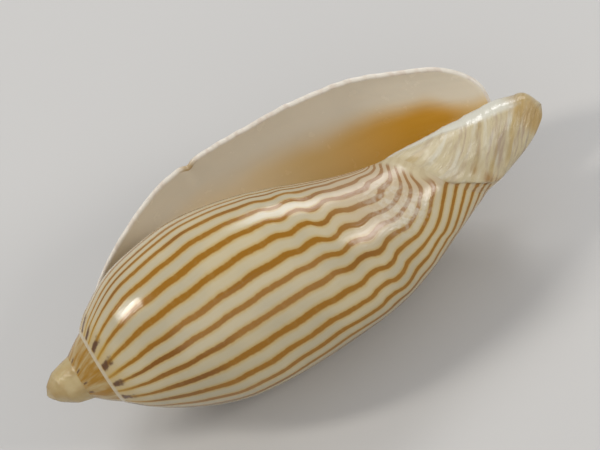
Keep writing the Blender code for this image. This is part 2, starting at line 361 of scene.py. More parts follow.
def core_points():
    """Parietal wall and columella, from the corner to the seat of the end band."""
    turn, share = grid(body_turns(), np.linspace(0, 1, WHORL_ROWS + 1))
    along = corner_along(turn) + (seat_along(turn) - corner_along(turn)) * share
    return place(turn, core_radius(turn, along), along)


def wall_points():
    """Inside of the wall, its rows level with the outside's at the lip."""
    turn, _ = grid(body_turns(), np.zeros(BAND_ROWS + WHORL_ROWS + 1))
    outside = whorl_points()[..., 1]
    top, foot = suture_along(turn), foot_along(turn)
    end = np.where(turn > CLOSE_TURN, margin_along(turn), seat_along(turn))
    share = (outside - top) / (foot - top)
    along = corner_along(turn) + (end - corner_along(turn)) * share
    return place(turn, wall_radius(turn, along), along)


def mouth_edge(points):
    """The free edge of a wall grid: down the lip, then back along the margin."""
    turns = body_turns()
    first = int(np.argmin(abs(turns - CLOSE_TURN)))
    return np.concatenate([points[-1, :, :], points[first:-1, -1, :][::-1]])


def rim_points(outside, inside):
    """Half-round rim from the outside's free edge to the inside's."""
    outer, inner = mouth_edge(outside), mouth_edge(inside)
    middle, across = (outer + inner) / 2, (outer - inner) / 2
    forward = np.cross(np.gradient(middle, axis=0), across)
    forward /= np.maximum(np.linalg.norm(forward, axis=1, keepdims=True), 1e-9)
    half = np.linalg.norm(across, axis=1, keepdims=True)
    steps = np.linspace(0, math.pi, RIM_ROWS + 2)
    rows = [middle + across * math.cos(a) + forward * half * math.sin(a) for a in steps]
    rows[0], rows[-1] = outer, inner
    return np.stack(rows, 1)


def laid_down(points):
    """Turn the shell on to its back, apex towards -X and the lip towards +Y."""
    angle, pitch = -2 * math.pi * UP_TURN, math.radians(REST_PITCH)
    level = math.cos(pitch)
    up = np.array([math.cos(angle) * level, math.sin(pitch), math.sin(angle) * level])
    forward = np.array([0.0, 1.0, 0.0]) - up[1] * up
    forward /= np.linalg.norm(forward)
    turned = points @ np.stack([forward, np.cross(up, forward), up]).T
    return turned - REST_POINT


def quads(count_across, count_down, start, flip=False):
    """Faces of one grid of points whose numbers begin at start."""
    i, j = np.meshgrid(np.arange(count_across - 1), np.arange(count_down - 1), indexing="ij")
    a = (start + i * count_down + j).ravel()
    faces = np.stack([a, a + 1, a + 1 + count_down, a + count_down], -1)
    return faces[:, ::-1] if flip else faces


# The growth lines. The snail laid down a thin golden-brown line about thirty times a turn,
# along the edge that its lip had then, so each line repeats the lip's wavy outline.
LINES_PER_TURN = 30.5
HOOK_TURNS = 0.085
# How far the lines stray, in spacings: off even spacing, in long drifts, and in small steps.
UNEVEN, LONG_DRIFT, SHORT_DRIFT = 0.30, 0.10, 0.03
STEP_SIZE, STEP_BESIDE = 0.17, 0.09
# Growth at the lines that show from the side, halfway along the whorl; the others are even.
LINES_AT = (
    -0.865, -0.847, -0.824, -0.792, -0.757, -0.719, -0.680,
    -0.648, -0.615, -0.579, -0.543, -0.507, -0.474,
)
# A line's outline: share of the way from suture to ridge, turns ahead of its middle.
LINE_SHAPE = (
    (0.0, 0.052),
    (0.036, 0.038),
    (0.08, 0.026),
    (0.143, 0.0165),
    (0.286, 0.009),
    (0.42, 0.002),
    (0.5, 0.0),
    (0.57, 0.001),
    (0.643, 0.007),
    (0.72, 0.014),
    (0.786, 0.0175),
    (0.857, 0.016),
    (0.893, 0.006),
    (0.95, -0.025),
    (1.0, -0.062),
)


def waver(x, y, seed):
    """Smooth wavering between about -1 and 1: a sum of six sines of unlike lengths."""
    pick = np.random.default_rng(seed)
    total = 0 * x * y
    for turn_rate, share_rate, start in pick.uniform((0.4, -1, 0), (1.6, 1, 6.3), (6, 3)):
        total = total + np.sin(x * turn_rate + y * share_rate + start)
    return total / 3


def line_phase(turn, share):
    """Number of the growth line at a point: whole on a line, a half between two lines. The
    growth less the line's outline gives it. On the side next to the aperture the outline's
    last bend comes later, and the ends hook back along the end band's edge. Small steps in
    the lines grow towards the front."""
    beside = ease(-0.61, -0.70, turn)
    late = beside * ease(0.8, 0.92, share)
    hook = HOOK_TURNS * beside * ease(0.88, 0.98, share) ** 2
    at = turn + hook - spline(LINE_SHAPE, np.clip(share - 0.04 * late, 0, 1))
    number = np.interp(at, LINES_AT, np.arange(len(LINES_AT)))
    beyond = np.minimum(at - LINES_AT[0], 0) + np.maximum(at - LINES_AT[-1], 0)
    number = number + beyond * LINES_PER_TURN
    uneven = UNEVEN * waver(at * 36, 0 * share, 3) * ease(0, 0.08, abs(beyond))
    drift = LONG_DRIFT * waver(at * 14, share * 16, 5)
    drift = drift + SHORT_DRIFT * waver(at * 20, share * 60, 6)
    front = ease(0.5, 0.74, share) * ease(0.97, 0.88, share)
    size = STEP_SIZE + STEP_BESIDE * beside
    steps = size * np.tanh(1.8 * waver(at * 16, share * 82, 8)) * front
    return number + uneven + drift * ease(0, 0.1, share) + steps


# The low relief on the wall: the lip's waves and its chip, the cord under the suture, the fold
# in front of the last whorl, and the ridges and glaze on the end band. Heights are millimetres.
LIP_WAVE_TURNS, LIP_RIPPLE_TURNS = 0.0016, 0.0007
CHIP_ALONG, CHIP_WIDTH, CHIP_TURNS = 30.8, 0.75, 0.0075
LIP_STEADY, LIP_WAVING, LIP_CALM, LIP_END_STEADY = 13, 19, 61, 65
CORD_HEIGHT, CORD_BELOW, CORD_WIDTH = 0.10, 0.30, 0.22
FRONT_FOLD_HEIGHT, FRONT_FOLD_ABOVE, FRONT_FOLD_BELOW = 0.50, 0.035, 0.11
RIDGE_HEIGHT, GLAZE_HEIGHT = 0.15, 0.15


def lip_retreat(along):
    """Turns by which the lip's edge stands back: a low wave, a ripple, and one small chip,
    each a function of the distance along the axis, and none at the lip's two ends."""
    wave = LIP_WAVE_TURNS * (1 + waver(along * 0.42, 0 * along, 21))
    fine = LIP_RIPPLE_TURNS * (1 + waver(along * 1.9, 0 * along, 22))
    chip = CHIP_TURNS * np.exp(-(((along - CHIP_ALONG) / CHIP_WIDTH) ** 2))
    free = ease(LIP_STEADY, LIP_WAVING, along) * ease(LIP_END_STEADY, LIP_CALM, along)
    return (wave + fine + chip) * free


def fold_height(turn, share):
    """Height of the low fold that parts the whorl's lines from the end band:
    a lopsided bell across a path that leaves the ridge as it comes round from the aperture.
    Share is of the way from the ridge to the tip, negative above the ridge."""
    path = 0.015 + 0.18 * ease(-0.63, -0.50, turn)
    shown = ease(-0.92, -0.82, turn) * ease(CLOSE_TURN - 0.01, CLOSE_TURN - 0.07, turn)
    off = share - path
    width = np.where(off < 0, FRONT_FOLD_ABOVE, FRONT_FOLD_BELOW)
    return FRONT_FOLD_HEIGHT * shown * np.exp(-((off / width) ** 2))


def notch_phase(turn, share):
    """Position across the notch's old edges on the end band: distance from the middle of
    the arcs that they make, with growth drawn out to the same scale as the share."""
    return np.hypot(1.7 * (turn + 1.0), share + 0.05)


def band_height(turn, share):
    """Height of the end band's growth ridges, a fine and a broad wavering across the notch's
    old edges, and of the glaze that half buries them next to the aperture."""
    across = notch_phase(turn, share)
    bent = across + 0.012 * waver(share * 30, turn * 60, 34)
    ridges = 0.8 * waver(bent * 120, share * 6, 31) + waver(bent * 38, share * 5, 32)
    edge = turn + 0.07 * ease(0.15, 0.80, share) + 0.008 * waver(share * 22, turn * 0, 33)
    glazed = ease(-0.71, -0.74, edge)
    kept = ease(-1.0, -0.94, turn) * ease(CLOSE_TURN, CLOSE_TURN - 0.06, turn)
    kept = kept * ease(0, 0.09, share) * ease(1.0, 0.90, share)
    return kept * (RIDGE_HEIGHT * ridges * (1 - 0.7 * glazed) + GLAZE_HEIGHT * glazed)


def raised(points, height):
    """Points moved out from the shell's axis by a height in millimetres."""
    radius = np.maximum(np.hypot(points[..., 0], points[..., 2]), 1e-6)
    grown = points * (1 + height / radius)[..., None]
    grown[..., 1] = points[..., 1]
    return grown


def turned_back(points, turns):
    """Points moved back along the growth by the given turns."""
    angle = 2 * math.pi * turns
    x = points[..., 0] * np.cos(angle) - points[..., 2] * np.sin(angle)
    z = points[..., 0] * np.sin(angle) + points[..., 2] * np.cos(angle)
    return np.stack([x, points[..., 1], z], -1)


def weave_blocks():
    """Every grid of the shell with what each point needs for its colours: the line number,
    the share of the way along its surface, the growth in turns, and the depth inside."""
    outside, inside, turns = whorl_points(), wall_points(), body_turns()
    spire, end, canal, core = spire_points(), end_points(), canal_points(), core_points()
    turn = np.repeat(turns[:, None], outside.shape[1], 1)
    top, low = suture_along(turn), ridge_along(turn)
    share = (outside[..., 1] - top) / (low - top)
    below = outside[..., 1] - top
    cord = CORD_HEIGHT * np.exp(-(((below - CORD_BELOW) / CORD_WIDTH) ** 2)) * ease(0, 0.3, below)
    cord = cord * ease(-1, -0.96, turn) * ease(0, -0.03, turn)
    fold = fold_height(turn, (outside[..., 1] - low) / (LENGTH - low))
    near_lip = ease(-0.05, 0, turn)
    outside = raised(outside, cord + fold)
    outside = turned_back(outside, lip_retreat(outside[..., 1]) * near_lip)
    inside = turned_back(inside, lip_retreat(inside[..., 1]) * near_lip)
    rim = rim_points(outside, inside)

    band_turn, band_share = grid(spire_turns(), np.linspace(0, 1, BAND_ROWS + 1))
    band_line = line_phase(band_turn, band_share * 0.12)
    blocks = [("whorls", spire, False, band_line, band_share, band_turn, 0 * band_turn)]
    blocks.append(("whorls", outside, False, line_phase(turn, share), share, turn, 0 * turn))

    at, way = grid(turns[turns <= CLOSE_TURN + 1e-9], end_shares())
    end = raised(end, fold_height(at, way) + band_height(at, way))
    end_line = line_phase(at + 0.22 * way, 0 * way + 1)
    blocks.append(("end", end, False, end_line, way, at, notch_phase(at, way)))

    at, way = grid(turns[turns >= CLOSE_TURN - 1e-9], end_shares())
    blocks.append(("aperture", canal, False, at, way, at, -at))

    at, way = grid(turns, np.linspace(0, 1, WHORL_ROWS + 1))
    top, low = suture_along(at - 1), ridge_along(at - 1)
    before = np.clip((core[..., 1] - top) / (low - top), 0, 1)
    blocks.append(("parietal", core, False, line_phase(at - 1, before), before, at, -at))
    blocks.append(("aperture", inside, True, turn, share, turn, -turn))

    first = int(np.argmin(abs(turns - CLOSE_TURN)))
    edge_share = np.concatenate([share[-1], share[first:-1, -1][::-1]])
    edge_turn = np.concatenate([0 * share[-1], turns[first:-1][::-1]])
    way = np.repeat(edge_share[:, None], rim.shape[1], 1)
    at = np.repeat(edge_turn[:, None], rim.shape[1], 1)
    across = np.repeat(np.linspace(0, 1, rim.shape[1])[None], len(rim), 0)
    blocks.append(("rim", rim, False, across, way, at, 0 * at))
    return blocks


def strip(first, second):
    """Triangles between two rows of point numbers. Each step goes on along the row that is
    behind, and its triangle joins the step to the other row's last point."""
    ways = [np.linspace(0, 1, len(row))[1:] for row in (first, second)]
    on_first = np.argsort(np.concatenate(ways), kind="stable") < len(first) - 1
    i = np.cumsum(on_first) - on_first
    j = np.cumsum(~on_first) - ~on_first
    ahead = first[np.minimum(i + 1, len(first) - 1)]
    level = second[np.minimum(j + 1, len(second) - 1)]
    return np.stack([first[i], np.where(on_first, ahead, level), second[j]], -1)


def shell_mesh(finishes):
    """One closed mesh of all the grids, welded where neighbours share an edge. Each face
    takes its grid's finish, and two UV maps hold its points' growth values."""
    points, faces, kinds, lines, places, starts, total = [], [], [], [], [], [], 0
    for kind, block, flip, line, share, turn, depth in weave_blocks():
        across, down = block.shape[:2]
        starts.append(total)
        points.append(block.reshape(-1, 3))
        lines.append(np.stack([line, share], -1).reshape(-1, 2))
        places.append(np.stack([turn, depth], -1).reshape(-1, 2))
        faces.append(quads(across, down, total, flip))
        kinds.append(np.full(len(faces[-1]), finishes[kind]))
        total += across * down
    tip_ring = starts[0] + np.arange(len(body_turns())) * (BAND_ROWS + 1)
    column = starts[0] + np.arange(BAND_ROWS, -1, -1)
    loop = np.concatenate([tip_ring, column[1:]])
    points.append(place(np.array([SUTURE[0][0]]), np.array([0.0]), np.array([-0.02])))
    lines.append(np.array([[0.0, 0.0]]))
    places.append(np.array([[SUTURE[0][0], 0.0]]))
    cap = np.stack([loop[:-1], loop[1:], np.full(len(loop) - 1, total)], -1)
    core = starts[4] + np.arange(WHORL_ROWS + 1)
    wall = starts[5] + np.arange(BAND_ROWS + WHORL_ROWS + 1)
    inner_cap = strip(core, wall)
    points, lines = laid_down(np.concatenate(points)) / 1000, np.concatenate(lines)
    places = np.concatenate(places)
    points[:, 2] = np.maximum(points[:, 2], 0)
    mesh = bpy.data.meshes.new("shell_surface")
    every = np.concatenate(faces).tolist() + cap.tolist() + inner_cap.tolist()
    mesh.from_pydata(points.tolist(), [], every)
    ends = [np.full(len(cap), finishes["whorls"]), np.full(len(inner_cap), finishes["aperture"])]
    mesh.polygons.foreach_set("material_index", np.concatenate(kinds + ends).astype(np.int32))
    corners = np.empty(len(mesh.loops), np.int32)
    mesh.loops.foreach_get("vertex_index", corners)
    for name, values in (("line", lines), ("place", places)):
        mesh.uv_layers.new(name=name).data.foreach_set("uv", values[corners].ravel())
    work = bmesh.new()
    work.from_mesh(mesh)
    bmesh.ops.remove_doubles(work, verts=work.verts, dist=WELD)
    bmesh.ops.dissolve_degenerate(work, edges=work.edges, dist=WELD)
    bmesh.ops.recalc_face_normals(work, faces=work.faces)
    work.to_mesh(mesh)
    work.free()
    mesh.shade_smooth()
    return mesh


# The enamel of the whorls: porcelain-like shell, cream, polished by wear, and stained by the
# growth lines, which end in dark spots under the suture. The spire is streaked orange and its
# tip is plain. Relief in the materials is in millimetres.
SHELL_IOR = 1.45
ENAMEL = (0.480, 0.404, 0.252)
ENAMEL_GREY = (0.405, 0.350, 0.232)
ENAMEL_PINK = (0.45, 0.345, 0.225)
LINE_GOLD = (0.265, 0.112, 0.002)
LINE_RUSSET = (0.185, 0.068, 0.003)
LINE_HALO = (0.43, 0.265, 0.04)
LINE_MAUVE = (0.25, 0.118, 0.032)
SPOT_BROWN = (0.070, 0.022, 0.007)
SUTURE_WHITE = (0.48, 0.42, 0.31)
TIP_CREAM = (0.41, 0.315, 0.150)
TIP_TAN = (0.34, 0.235, 0.095)
SPIRE_ORANGE = (0.30, 0.148, 0.010)
BAND_CREAM = (0.48, 0.405, 0.25)
GLAZE_WHITE = (0.58, 0.555, 0.46)


def shader(name, roughness):
    """A material, its node tree, and its surface shader with one roughness all over."""
    finish = bpy.data.materials.new(name)
    finish.use_nodes = True
    surface = finish.node_tree.nodes["Principled BSDF"]
    surface.inputs["Roughness"].default_value = roughness
    surface.inputs["IOR"].default_value = SHELL_IOR
    return finish, finish.node_tree, surface


def feed(tree, socket, value):
    """Link a socket, or set its value."""
    if isinstance(value, bpy.types.NodeSocket):
        tree.links.new(value, socket)
    elif socket.type == "RGBA":
        socket.default_value = (*value, 1.0)
    else:
        socket.default_value = value


def number(tree, operation, *values):
    """The result of one sum on sockets or plain values."""
    node = tree.nodes.new("ShaderNodeMath")
    node.operation = operation
    for socket, value in zip(node.inputs, values):
        feed(tree, socket, value)
    return node.outputs[0]


def product(tree, first, *others):
    """All the given values multiplied together."""
    for other in others:
        first = number(tree, "MULTIPLY", first, other)
    return first


def rise(tree, value, low, high, start=0.0, stop=1.0):
    """Smooth step from start at low to stop at high; low may be the larger."""
    node = tree.nodes.new("ShaderNodeMapRange")
    node.interpolation_type = "SMOOTHSTEP"
    for socket, given in zip(node.inputs, (value, low, high, start, stop)):
        feed(tree, socket, given)
    return node.outputs[0]


def blend(tree, amount, first, second):
    """The first colour at 0, the second at 1."""
    node = tree.nodes.new("ShaderNodeMix")
    node.data_type = "RGBA"
    for at, value in ((0, amount), (6, first), (7, second)):
        feed(tree, node.inputs[at], value)
    return node.outputs[2]


def stretched(tree, x, x_rate, y, y_rate, z=0.0):
    """A place for a pattern from two surface values, each with its own rate."""
    node = tree.nodes.new("ShaderNodeCombineXYZ")
    feed(tree, node.inputs[0], number(tree, "MULTIPLY", x, x_rate))
    feed(tree, node.inputs[1], number(tree, "MULTIPLY", y, y_rate))
    feed(tree, node.inputs[2], z)
    return node.outputs[0]


def clouds(tree, where, scale=1.0, detail=2.0):
    """Soft irregular patches between 0 and 1."""
    node = tree.nodes.new("ShaderNodeTexNoise")
    feed(tree, node.inputs["Vector"], where)
    node.inputs["Scale"].default_value = scale
    node.inputs["Detail"].default_value = detail
    return node.outputs["Fac"]


def object_place(tree):
    """The point on the shell itself, in metres."""
    return tree.nodes.new("ShaderNodeTexCoord").outputs["Object"]


def growth_values(tree):
    """Line number and share from one UV map, growth and depth from the other."""
    out = []
    for name in ("line", "place"):
        uv = tree.nodes.new("ShaderNodeUVMap")
        uv.uv_map = name
        split = tree.nodes.new("ShaderNodeSeparateXYZ")
        tree.links.new(uv.outputs[0], split.inputs[0])
        out += [split.outputs[0], split.outputs[1]]
    return out


def relief(tree, surface, *heights):
    """Bump from the sum of heights in millimetres."""
    total = heights[0]
    for height in heights[1:]:
        total = number(tree, "ADD", total, height)
    bump = tree.nodes.new("ShaderNodeBump")
    bump.inputs["Distance"].default_value = 0.001
    feed(tree, bump.inputs["Height"], total)
    tree.links.new(bump.outputs[0], surface.inputs["Normal"])


def make_line_group():
    """Node group: the enamel's colour with the golden lines in it, and the lines' mask, from
    a line number, the share of the way to the front, and how far the front's mauve shows."""
    group = bpy.data.node_groups.new("golden_lines", "ShaderNodeTree")
    sockets = (
        ("Line", "INPUT", "NodeSocketFloat"),
        ("Share", "INPUT", "NodeSocketFloat"),
        ("Mauve", "INPUT", "NodeSocketFloat"),
        ("Ground", "INPUT", "NodeSocketColor"),
        ("Color", "OUTPUT", "NodeSocketColor"),
        ("Mask", "OUTPUT", "NodeSocketFloat"),
    )
    for name, direction, kind in sockets:
        group.interface.new_socket(name, in_out=direction, socket_type=kind)
    line, share, mauve, ground = group.nodes.new("NodeGroupInput").outputs[:4]
    fray = clouds(group, stretched(group, line, 2.5, share, 60), 1.0, 3.0)
    shifted = number(group, "ADD", line, number(group, "MULTIPLY_ADD", fray, 0.10, -0.05))
    middle = number(group, "PINGPONG", shifted, 0.5)
    width = clouds(group, stretched(group, line, 0.9, share, 5.0, 4.0), 1.0, 1.0)
    half = number(group, "MULTIPLY_ADD", width, 0.10, 0.092)
    half = number(group, "MULTIPLY_ADD", mauve, 0.05, half)
    half = product(group, half, rise(group, share, 0.02, 0.16, 0.6, 1.0))
    outer, inner = number(group, "ADD", half, 0.055), number(group, "SUBTRACT", half, 0.035)
    core = rise(group, middle, outer, inner)
    outer, inner = number(group, "ADD", half, 0.24), number(group, "SUBTRACT", half, 0.02)
    halo = rise(group, middle, outer, inner)
    tone = clouds(group, stretched(group, line, 0.35, share, 3.0, 9.0), 1.0, 2.0)
    golden = blend(group, rise(group, tone, 0.50, 0.72), LINE_GOLD, LINE_RUSSET)
    golden = blend(group, mauve, golden, LINE_MAUVE)
    near = rise(group, share, 0.10, 0.02, 0.70, 0.95)
    halo = product(group, halo, near, rise(group, mauve, 0.0, 1.0, 1.0, 0.35))
    colour = blend(group, halo, ground, LINE_HALO)
    patchy = rise(group, fray, 0.25, 0.5, 0.9, 1.0)
    shown = product(group, core, patchy, rise(group, mauve, 0.0, 1.0, 1.0, 0.88))
    colour = blend(group, shown, colour, golden)
    result = group.nodes.new("NodeGroupOutput")
    feed(group, result.inputs[0], colour)
    feed(group, result.inputs[1], core)
    return group


golden_lines = make_line_group()


def lined_enamel(tree, line, share, mauve, ground):
    """The golden lines' node group in one material: its colour and the lines' mask."""
    node = tree.nodes.new("ShaderNodeGroup")
    node.node_tree = golden_lines
    for socket, value in zip(node.inputs, (line, share, mauve, ground)):
        feed(tree, socket, value)
    return node.outputs[0], node.outputs[1]


def whorl_finish():
    """The lined enamel, mauve and frosted next to the end band, with white specks there that are
    partly a painted glint, then suture, spire and tip.
    """
    finish, tree, surface = shader("lined_enamel", 0.16)
    line, share, turn, _ = growth_values(tree)
    here = object_place(tree)
    mottle = clouds(tree, here, 110.0, 3.0)
    beside = product(tree, rise(tree, turn, -0.56, -0.66), rise(tree, turn, -1.0, -0.92))
    mauve = product(tree, rise(tree, share, 0.66, 0.84), beside)
    ground = blend(tree, rise(tree, mottle, 0.35, 0.7), ENAMEL, ENAMEL_GREY)
    ground = blend(tree, number(tree, "MULTIPLY", mauve, 0.75), ground, ENAMEL_PINK)
    colour, mask = lined_enamel(tree, line, share, mauve, ground)
    last = product(tree, rise(tree, share, 0.958, 0.978), rise(tree, turn, -0.63, -0.68))
    colour = blend(tree, number(tree, "MULTIPLY", last, 0.85), colour, BAND_CREAM)
    # A frosted patch where the last lines bend towards the fold. Its white specks are partly real
    # frost and partly a painted glint, a highlight painted into the colour.
    patch = product(
        tree,
        rise(tree, share, 0.79, 0.86),
        rise(tree, share, 0.95, 0.90),
        rise(tree, turn, -0.75, -0.68),
        rise(tree, turn, -0.55, -0.60),
    )
    specks = clouds(tree, here, 1100.0, 3.0)
    frost_and_painted_glint = product(tree, patch, rise(tree, specks, 0.35, 0.65))
    colour = blend(tree, number(tree, "MULTIPLY", frost_and_painted_glint, 0.45), colour, GLAZE_WHITE)
    # The pale cord at the suture, and the dark spots below it on every other line.
    body = rise(tree, turn, -1.02, -0.99)
    tint = product(tree, rise(tree, share, 0.075, 0.015), body)
    colour = blend(tree, number(tree, "MULTIPLY", tint, 0.45), colour, LINE_HALO)
    cord = product(tree, rise(tree, share, 0.012, 0.006), body)
    colour = blend(tree, number(tree, "MULTIPLY", cord, 0.75), colour, SUTURE_WHITE)
    pair = number(tree, "PINGPONG", number(tree, "MULTIPLY_ADD", line, 0.5, 0.5), 0.5)
    blot = clouds(tree, here, 900.0, 2.0)
    reach = number(tree, "MULTIPLY_ADD", blot, 0.24, 0.01)
    outer, inner = number(tree, "ADD", reach, 0.09), number(tree, "SUBTRACT", reach, 0.04)
    spot = rise(tree, pair, outer, inner)
    foot = number(tree, "MULTIPLY_ADD", blot, 0.05, 0.010)
    ended = rise(tree, number(tree, "SUBTRACT", share, foot), 0.016, -0.010)
    level = product(tree, rise(tree, share, 0.008, 0.013), ended)
    spot = product(tree, spot, level, body)
    colour = blend(tree, number(tree, "MULTIPLY", spot, 0.9), colour, SPOT_BROWN)
    # The spire: orange streaks along the axis with small brown marks, then the plain tip.
    streak = clouds(tree, stretched(tree, line, 1.1, share, 0.8, 2.0), 1.0, 3.0)
    stained = blend(tree, rise(tree, streak, 0.30, 0.66), TIP_CREAM, SPIRE_ORANGE)
    third = number(tree, "PINGPONG", number(tree, "MULTIPLY", line, 0.4), 0.5)
    upper = product(tree, rise(tree, share, 0.02, 0.08), rise(tree, share, 0.30, 0.16))
    mark = product(tree, rise(tree, third, 0.12, 0.04), upper)
    stained = blend(tree, number(tree, "MULTIPLY", mark, 0.8), stained, SPOT_BROWN)
    colour = blend(tree, rise(tree, turn, -1.0, -1.03), colour, stained)
    drift = clouds(tree, here, 420.0, 2.0)
    tip = blend(tree, rise(tree, drift, 0.35, 0.7), TIP_CREAM, TIP_TAN)
    early = rise(tree, turn, -1.96, -2.06)
    colour = blend(tree, early, colour, tip)
    feed(tree, surface.inputs["Base Color"], colour)
    polish = rise(tree, clouds(tree, here, 700.0, 4.0), 0.3, 0.8, 0.10, 0.19)
    worn = number(tree, "ADD", product(tree, mauve, 0.10), product(tree, patch, 0.12))
    feed(tree, surface.inputs["Roughness"], number(tree, "ADD", polish, worn))
    threads = clouds(tree, stretched(tree, line, 9.0, share, 4.0), 1.0, 3.0)
    pits = clouds(tree, here, 2400.0, 2.0)
    relief(
        tree,
        surface,
        number(tree, "MULTIPLY", threads, 0.028),
        product(tree, drift, early, 0.45),
        product(tree, pits, number(tree, "MULTIPLY_ADD", patch, 0.10, 0.006)),
        number(tree, "MULTIPLY", mask, -0.004),
    )
    return finish


# The end band. Ridges across it are the siphonal notch's old edges, cream and grey-mauve; a
# brown stain lies under the fold, the tip is ochre, and white glaze spreads from the aperture.
BAND_MAUVE = (0.35, 0.265, 0.18)
BAND_TAN = (0.38, 0.27, 0.10)
BAND_OCHRE = (0.37, 0.24, 0.08)


def end_finish():
    """Cream and mauve along the notch's old edges, ochre tip, stain, lines and white glaze."""
    finish, tree, surface = shader("end_band", 0.3)
    line, share, turn, notch = growth_values(tree)
    here = object_place(tree)
    wobble = clouds(tree, here, 260.0, 2.0)
    bent = number(tree, "MULTIPLY_ADD", wobble, 0.07, notch)
    threads = clouds(tree, stretched(tree, bent, 26.0, share, 3.0), 1.0, 3.0)
    mauve = product(tree, rise(tree, threads, 0.44, 0.66), rise(tree, share, 0.10, 0.50, 0.4, 1.0))
    colour = blend(tree, mauve, BAND_CREAM, BAND_MAUVE)
    warm = clouds(tree, stretched(tree, notch, 13.0, share, 2.0, 5.0), 1.0, 2.0)
    colour = blend(tree, rise(tree, warm, 0.50, 0.70, 0.0, 0.75), colour, BAND_TAN)
    pale = clouds(tree, stretched(tree, notch, 20.0, share, 3.0, 8.0), 1.0, 2.0)
    colour = blend(tree, rise(tree, pale, 0.52, 0.74, 0.0, 0.55), colour, GLAZE_WHITE)
    open_side = rise(tree, turn, -0.66, -0.52)
    tip = product(tree, rise(tree, share, 0.72, 0.84), rise(tree, share, 1.0, 0.93))
    tip = product(tree, tip, rise(tree, turn, -0.95, -0.62, 0.45, 0.85))
    colour = blend(tree, tip, colour, BAND_OCHRE)
    stain = product(tree, rise(tree, share, 0.16, 0.21), rise(tree, share, 0.30, 0.22), open_side)
    stain = product(tree, stain, rise(tree, threads, 0.40, 0.60, 0.1, 0.7))
    colour = blend(tree, stain, colour, LINE_GOLD)
    # The whorl's lines run on over the fold's upper side.
    ground = blend(tree, rise(tree, wobble, 0.3, 0.7), ENAMEL, ENAMEL_PINK)
    lined, _ = lined_enamel(tree, line, 0.9, 0.45, ground)
    path = rise(tree, turn, -0.63, -0.50, 0.015, 0.195)
    above = rise(tree, number(tree, "SUBTRACT", share, path), 0.0, -0.05)
    colour = blend(tree, above, colour, lined)
    edge = number(tree, "MULTIPLY_ADD", wobble, 0.03, turn)
    edge = number(tree, "SUBTRACT", edge, rise(tree, share, 0.25, 0.60, 0.0, 0.055))
    glaze = product(tree, rise(tree, edge, -0.80, -0.84), rise(tree, share, 0.90, 0.76))
    colour = blend(tree, glaze, colour, GLAZE_WHITE)
    feed(tree, surface.inputs["Base Color"], colour)
    feed(tree, surface.inputs["Roughness"], rise(tree, glaze, 0.0, 1.0, 0.30, 0.19))
    fine = clouds(tree, stretched(tree, notch, 90.0, share, 6.0), 1.0, 3.0)
    relief(
        tree,
        surface,
        number(tree, "MULTIPLY", threads, 0.12),
        product(tree, fine, rise(tree, glaze, 0.0, 1.0, 0.09, 0.01)),
    )
    return finish


# The inside is thin glaze: white at the lip, tan past it, and deep orange towards the front.
# Towards the suture end of the aperture the tan is lightened to a paler colour, which is painted
# light on a part that lies in shade.
# On the wall behind the aperture the lines show through it near the mouth.
MOUTH_WHITE = (0.70, 0.640, 0.515)
THROAT_TAN = (0.66, 0.475, 0.215)
# Pale tan that is painted light: it brightens the shaded back of the throat.
THROAT_PAINTED_LIGHT = (0.80, 0.66, 0.43)
THROAT_ORANGE = (0.53, 0.265, 0.025)


def throat_colour(tree, share, depth):
    """White at the mouth, then tan by depth, lightened towards the suture end as painted light
    where the inside lies in shade, and orange deeper in the front half.
    """
    drift = clouds(tree, object_place(tree), 90.0, 2.0)
    inner = number(tree, "ADD", depth, number(tree, "MULTIPLY_ADD", drift, 0.04, -0.02))
    inner = number(tree, "SUBTRACT", inner, rise(tree, share, 0.84, 0.95, 0.0, 0.03))
    tan_and_painted_light = blend(tree, rise(tree, share, 0.60, 0.35), THROAT_TAN, THROAT_PAINTED_LIGHT)
    colour = blend(tree, rise(tree, inner, 0.035, 0.085), MOUTH_WHITE, tan_and_painted_light)
    front = product(tree, rise(tree, share, 0.48, 0.84), rise(tree, share, 0.97, 0.88))
    orange = product(tree, rise(tree, inner, 0.045, 0.09), front)
    return blend(tree, orange, colour, THROAT_ORANGE)


def aperture_finish():
    """The inside of the wall and the canal: the throat's colours under a rippled glaze."""
    finish, tree, surface = shader("aperture_glaze", 0.22)
    _, share, _, depth = growth_values(tree)
    feed(tree, surface.inputs["Base Color"], throat_colour(tree, share, depth))
    polish = clouds(tree, object_place(tree), 500.0, 3.0)
    feed(tree, surface.inputs["Roughness"], rise(tree, polish, 0.3, 0.8, 0.16, 0.30))
    ripple = clouds(tree, stretched(tree, depth, 50.0, share, 3.0), 1.0, 2.0)
    relief(tree, surface, number(tree, "MULTIPLY", ripple, 0.06))
    return finish


def parietal_finish():
    """The wall behind the aperture: lined enamel at the mouth, glazed over deeper in."""
    finish, tree, surface = shader("columella_glaze", 0.18)
    line, share, _, depth = growth_values(tree)
    here = object_place(tree)
    lined, _ = lined_enamel(tree, line, share, rise(tree, share, 0.7, 0.9), ENAMEL)
    glazed = blend(tree, rise(tree, share, 0.80, 0.98), THROAT_TAN, GLAZE_WHITE)
    glazed = blend(tree, rise(tree, depth, 0.10, 0.30), glazed, throat_colour(tree, share, depth))
    edge = number(tree, "MULTIPLY_ADD", clouds(tree, here, 200.0, 2.0), 0.02, depth)
    colour = blend(tree, rise(tree, edge, 0.02, 0.09), lined, glazed)
    feed(tree, surface.inputs["Base Color"], colour)
    return finish


# The lip's rounded edge is the last shell that the snail laid down, bare of glaze and lines. It
# is white with fine steps along it, and tinted in the chip.
RIM_WHITE = (0.68, 0.63, 0.54)
RIM_PINK = (0.61, 0.53, 0.44)
CHIP_SHARE = float((CHIP_ALONG - suture_along(0.0)) / (ridge_along(0.0) - suture_along(0.0)))


